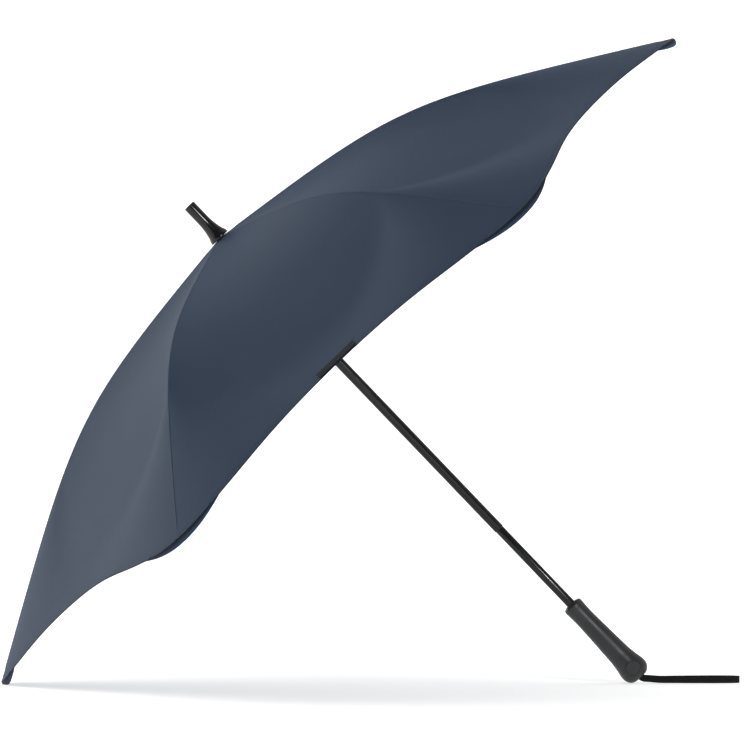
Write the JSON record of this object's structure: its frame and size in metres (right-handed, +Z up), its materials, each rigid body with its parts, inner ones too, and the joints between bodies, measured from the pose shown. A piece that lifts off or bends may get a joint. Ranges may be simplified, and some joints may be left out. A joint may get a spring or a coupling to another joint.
{
  "type": "stick umbrella",
  "caption": "Open stick umbrella lying on the floor: navy canopy with rounded tips, hinged ribs and stretchers, sliding runner, black shaft, rubber grip and wrist strap.",
  "frame": {"origin": "on the floor under the middle of the box of all but the wrist strap", "axes": "+Z up from the floor, +X from the canopy towards the handle, -Y towards the viewer; the shaft lies in the XZ plane, 46 degrees above the floor"},
  "size_m": [0.9559, 1.0556, 0.8348],
  "materials": {
    "shaft_gloss": "glossy black lacquer",
    "ferrule_gloss": "glossy black",
    "hard_plastic": "satin black",
    "rib_steel": "black lacquer",
    "rib_fibre": "satin black glass fibre",
    "spring_steel": "satin",
    "grip_rubber": "matt, finely textured",
    "canopy_fabric": "close woven, slight sheen",
    "band_webbing": "matt woven"
  },
  "bodies": {
    "shaft": {"ferrule": "ferrule_gloss", "ferrule_ring": "hard_plastic", "crown": "hard_plastic", "crown_wire": "spring_steel", "shaft_tube": "shaft_gloss", "shaft_stem": "shaft_gloss", "handle_core": "hard_plastic", "handle_grip": "grip_rubber", "handle_disc": "grip_rubber", "wrist_strap": "band_webbing"},
    "runner": {"runner": "hard_plastic"},
    "top_catch": {"top_catch": "spring_steel"},
    "lower_catch": {"lower_catch": "spring_steel"},
    "rib_1": {"rib_1": "rib_steel", "canopy_1": "canopy_fabric"},
    "outer_rib_1": {"outer_rib_1": "rib_fibre", "tip_hub_1": "hard_plastic"},
    "stretcher_1": {"stretcher_1": "rib_steel"},
    "arm_left_1": {"tip_arm_left_1": "hard_plastic"},
    "arm_right_1": {"tip_arm_right_1": "hard_plastic"},
    "rib_2": {"rib_2": "rib_steel", "canopy_2": "canopy_fabric"},
    "outer_rib_2": {"outer_rib_2": "rib_fibre", "tip_hub_2": "hard_plastic"},
    "stretcher_2": {"stretcher_2": "rib_steel"},
    "arm_left_2": {"tip_arm_left_2": "hard_plastic"},
    "arm_right_2": {"tip_arm_right_2": "hard_plastic"},
    "rib_3": {"rib_3": "rib_steel", "canopy_3": "canopy_fabric"},
    "outer_rib_3": {"outer_rib_3": "rib_fibre", "tip_hub_3": "hard_plastic"},
    "stretcher_3": {"stretcher_3": "rib_steel"},
    "arm_left_3": {"tip_arm_left_3": "hard_plastic"},
    "arm_right_3": {"tip_arm_right_3": "hard_plastic"},
    "rib_4": {"rib_4": "rib_steel", "canopy_4": "canopy_fabric"},
    "outer_rib_4": {"outer_rib_4": "rib_fibre", "tip_hub_4": "hard_plastic"},
    "stretcher_4": {"stretcher_4": "rib_steel"},
    "arm_left_4": {"tip_arm_left_4": "hard_plastic"},
    "arm_right_4": {"tip_arm_right_4": "hard_plastic"},
    "rib_5": {"rib_5": "rib_steel", "canopy_5": "canopy_fabric"},
    "outer_rib_5": {"outer_rib_5": "rib_fibre", "tip_hub_5": "hard_plastic", "tie_band": "band_webbing"},
    "stretcher_5": {"stretcher_5": "rib_steel"},
    "arm_left_5": {"tip_arm_left_5": "hard_plastic"},
    "arm_right_5": {"tip_arm_right_5": "hard_plastic"},
    "rib_6": {"rib_6": "rib_steel", "canopy_6": "canopy_fabric"},
    "outer_rib_6": {"outer_rib_6": "rib_fibre", "tip_hub_6": "hard_plastic"},
    "stretcher_6": {"stretcher_6": "rib_steel"},
    "arm_left_6": {"tip_arm_left_6": "hard_plastic"},
    "arm_right_6": {"tip_arm_right_6": "hard_plastic"}
  },
  "joints": [
    {"name": "runner_slide", "type": "slide", "parent": "shaft", "child": "runner", "axis": [0.6916, 0, -0.7223], "range_m": [0, 0.43886]},
    {"name": "top_catch_press", "type": "slide", "parent": "shaft", "child": "top_catch", "axis": [0, -1, 0], "range_m": [0, 0.0018], "stiffness_N_per_m": 800},
    {"name": "lower_catch_press", "type": "slide", "parent": "shaft", "child": "lower_catch", "axis": [0, -1, 0], "range_m": [0, 0.0018], "stiffness_N_per_m": 800},
    {"name": "rib_fold_1", "type": "hinge", "parent": "shaft", "child": "rib_1", "pos_m": [-0.13788, 0, 0.58088], "axis": [0, 1, 0], "range_deg": [0, 75.31], "deforming": ["canopy_1"]},
    {"name": "rib_flex_1", "type": "hinge", "parent": "rib_1", "child": "outer_rib_1", "pos_m": [0.08876, 0, 0.7353], "axis": [0, -1, 0], "range_deg": [0, 10]},
    {"name": "stretcher_fold_1", "type": "hinge", "parent": "rib_1", "child": "stretcher_1", "pos_m": [0.08854, 0, 0.7283], "axis": [0, -1, 0], "range_deg": [0, 150.63]},
    {"name": "arm_left_fold_1", "type": "hinge", "parent": "outer_rib_1", "child": "arm_left_1", "pos_m": [0.37236, 0.0046, 0.81575], "axis": [0.2243, 0, -0.9745], "range_deg": [0, 58.3]},
    {"name": "arm_right_fold_1", "type": "hinge", "parent": "outer_rib_1", "child": "arm_right_1", "pos_m": [0.37236, -0.0046, 0.81575], "axis": [-0.2243, 0, 0.9745], "range_deg": [0, 58.3]},
    {"name": "rib_fold_2", "type": "hinge", "parent": "shaft", "child": "rib_2", "pos_m": [-0.14275, 0.01169, 0.57621], "axis": [-0.6255, 0.5, -0.5989], "range_deg": [0, 75.31], "deforming": ["canopy_2"]},
    {"name": "rib_flex_2", "type": "hinge", "parent": "rib_2", "child": "outer_rib_2", "pos_m": [-0.01381, 0.24595, 0.6371], "axis": [0.6255, -0.5, 0.5989], "range_deg": [0, 10]},
    {"name": "stretcher_fold_2", "type": "hinge", "parent": "rib_2", "child": "stretcher_2", "pos_m": [-0.01222, 0.24162, 0.63183], "axis": [0.6255, -0.5, 0.5989], "range_deg": [0, 150.63]},
    {"name": "arm_left_fold_2", "type": "hinge", "parent": "outer_rib_2", "child": "arm_left_2", "pos_m": [0.17284, 0.47383, 0.62472], "axis": [0.4092, -0.4434, -0.7975], "range_deg": [0, 58.3]},
    {"name": "arm_right_fold_2", "type": "hinge", "parent": "outer_rib_2", "child": "arm_right_2", "pos_m": [0.1786, 0.46923, 0.63023], "axis": [-0.4092, 0.4434, 0.7975], "range_deg": [0, 58.3]},
    {"name": "rib_fold_3", "type": "hinge", "parent": "shaft", "child": "rib_3", "pos_m": [-0.15251, 0.01169, 0.56687], "axis": [-0.6255, -0.5, -0.5989], "range_deg": [0, 75.31], "deforming": ["canopy_3"]},
    {"name": "rib_flex_3", "type": "hinge", "parent": "rib_3", "child": "outer_rib_3", "pos_m": [-0.21894, 0.24595, 0.44069], "axis": [0.6255, 0.5, 0.5989], "range_deg": [0, 10]},
    {"name": "stretcher_fold_3", "type": "hinge", "parent": "rib_3", "child": "stretcher_3", "pos_m": [-0.21375, 0.24162, 0.43888], "axis": [0.6255, 0.5, 0.5989], "range_deg": [0, 150.63]},
    {"name": "arm_left_fold_3", "type": "hinge", "parent": "outer_rib_3", "child": "arm_left_3", "pos_m": [-0.22043, 0.46923, 0.24817], "axis": [0.779, -0.4434, -0.4434], "range_deg": [0, 58.3]},
    {"name": "arm_right_fold_3", "type": "hinge", "parent": "outer_rib_3", "child": "arm_right_3", "pos_m": [-0.21468, 0.47383, 0.25368], "axis": [-0.779, 0.4434, 0.4434], "range_deg": [0, 58.3]},
    {"name": "rib_fold_4", "type": "hinge", "parent": "shaft", "child": "rib_4", "pos_m": [-0.15738, 0, 0.5622], "axis": [0, -1, 0], "range_deg": [0, 75.31], "deforming": ["canopy_4"]},
    {"name": "rib_flex_4", "type": "hinge", "parent": "rib_4", "child": "outer_rib_4", "pos_m": [-0.32151, 0, 0.34249], "axis": [0, 1, 0], "range_deg": [0, 10]},
    {"name": "stretcher_fold_4", "type": "hinge", "parent": "rib_4", "child": "stretcher_4", "pos_m": [-0.31451, 0, 0.34241], "axis": [0, 1, 0], "range_deg": [0, 150.63]},
    {"name": "arm_left_fold_4", "type": "hinge", "parent": "outer_rib_4", "child": "arm_left_4", "pos_m": [-0.4142, -0.0046, 0.06265], "axis": [0.9639, 0, -0.2664], "range_deg": [0, 58.3]},
    {"name": "arm_right_fold_4", "type": "hinge", "parent": "outer_rib_4", "child": "arm_right_4", "pos_m": [-0.4142, 0.0046, 0.06265], "axis": [-0.9639, 0, 0.2664], "range_deg": [0, 58.3]},
    {"name": "rib_fold_5", "type": "hinge", "parent": "shaft", "child": "rib_5", "pos_m": [-0.15251, -0.01169, 0.56687], "axis": [0.6255, -0.5, 0.5989], "range_deg": [0, 75.31], "deforming": ["canopy_5", "tie_band"]},
    {"name": "rib_flex_5", "type": "hinge", "parent": "rib_5", "child": "outer_rib_5", "pos_m": [-0.21894, -0.24595, 0.44069], "axis": [-0.6255, 0.5, -0.5989], "range_deg": [0, 10]},
    {"name": "stretcher_fold_5", "type": "hinge", "parent": "rib_5", "child": "stretcher_5", "pos_m": [-0.21375, -0.24162, 0.43888], "axis": [-0.6255, 0.5, -0.5989], "range_deg": [0, 150.63]},
    {"name": "arm_left_fold_5", "type": "hinge", "parent": "outer_rib_5", "child": "arm_left_5", "pos_m": [-0.21468, -0.47383, 0.25368], "axis": [0.779, 0.4434, -0.4434], "range_deg": [0, 58.3]},
    {"name": "arm_right_fold_5", "type": "hinge", "parent": "outer_rib_5", "child": "arm_right_5", "pos_m": [-0.22043, -0.46923, 0.24817], "axis": [-0.779, -0.4434, 0.4434], "range_deg": [0, 58.3]},
    {"name": "rib_fold_6", "type": "hinge", "parent": "shaft", "child": "rib_6", "pos_m": [-0.14275, -0.01169, 0.57621], "axis": [0.6255, 0.5, 0.5989], "range_deg": [0, 75.31], "deforming": ["canopy_6"]},
    {"name": "rib_flex_6", "type": "hinge", "parent": "rib_6", "child": "outer_rib_6", "pos_m": [-0.01381, -0.24595, 0.6371], "axis": [-0.6255, -0.5, -0.5989], "range_deg": [0, 10]},
    {"name": "stretcher_fold_6", "type": "hinge", "parent": "rib_6", "child": "stretcher_6", "pos_m": [-0.01222, -0.24162, 0.63183], "axis": [-0.6255, -0.5, -0.5989], "range_deg": [0, 150.63]},
    {"name": "arm_left_fold_6", "type": "hinge", "parent": "outer_rib_6", "child": "arm_left_6", "pos_m": [0.1786, -0.46923, 0.63023], "axis": [0.4092, 0.4434, -0.7975], "range_deg": [0, 58.3]},
    {"name": "arm_right_fold_6", "type": "hinge", "parent": "outer_rib_6", "child": "arm_right_6", "pos_m": [0.17284, -0.47383, 0.62472], "axis": [-0.4092, -0.4434, 0.7975], "range_deg": [0, 58.3]}
  ],
  "couplings": [
    {"joint": "rib_fold_1", "follows": "runner_slide", "rad_per_m": 2.9952},
    {"joint": "rib_flex_1", "follows": "runner_slide", "rad_per_m": 0.39769},
    {"joint": "stretcher_fold_1", "follows": "runner_slide", "rad_per_m": 5.9905},
    {"joint": "arm_left_fold_1", "follows": "runner_slide", "rad_per_m": 2.3186},
    {"joint": "arm_right_fold_1", "follows": "runner_slide", "rad_per_m": 2.3186},
    {"joint": "rib_fold_2", "follows": "runner_slide", "rad_per_m": 2.9952},
    {"joint": "rib_flex_2", "follows": "runner_slide", "rad_per_m": 0.39769},
    {"joint": "stretcher_fold_2", "follows": "runner_slide", "rad_per_m": 5.9905},
    {"joint": "arm_left_fold_2", "follows": "runner_slide", "rad_per_m": 2.3186},
    {"joint": "arm_right_fold_2", "follows": "runner_slide", "rad_per_m": 2.3186},
    {"joint": "rib_fold_3", "follows": "runner_slide", "rad_per_m": 2.9952},
    {"joint": "rib_flex_3", "follows": "runner_slide", "rad_per_m": 0.39769},
    {"joint": "stretcher_fold_3", "follows": "runner_slide", "rad_per_m": 5.9905},
    {"joint": "arm_left_fold_3", "follows": "runner_slide", "rad_per_m": 2.3186},
    {"joint": "arm_right_fold_3", "follows": "runner_slide", "rad_per_m": 2.3186},
    {"joint": "rib_fold_4", "follows": "runner_slide", "rad_per_m": 2.9952},
    {"joint": "rib_flex_4", "follows": "runner_slide", "rad_per_m": 0.39769},
    {"joint": "stretcher_fold_4", "follows": "runner_slide", "rad_per_m": 5.9905},
    {"joint": "arm_left_fold_4", "follows": "runner_slide", "rad_per_m": 2.3186},
    {"joint": "arm_right_fold_4", "follows": "runner_slide", "rad_per_m": 2.3186},
    {"joint": "rib_fold_5", "follows": "runner_slide", "rad_per_m": 2.9952},
    {"joint": "rib_flex_5", "follows": "runner_slide", "rad_per_m": 0.39769},
    {"joint": "stretcher_fold_5", "follows": "runner_slide", "rad_per_m": 5.9905},
    {"joint": "arm_left_fold_5", "follows": "runner_slide", "rad_per_m": 2.3186},
    {"joint": "arm_right_fold_5", "follows": "runner_slide", "rad_per_m": 2.3186},
    {"joint": "rib_fold_6", "follows": "runner_slide", "rad_per_m": 2.9952},
    {"joint": "rib_flex_6", "follows": "runner_slide", "rad_per_m": 0.39769},
    {"joint": "stretcher_fold_6", "follows": "runner_slide", "rad_per_m": 5.9905},
    {"joint": "arm_left_fold_6", "follows": "runner_slide", "rad_per_m": 2.3186},
    {"joint": "arm_right_fold_6", "follows": "runner_slide", "rad_per_m": 2.3186}
  ]
}
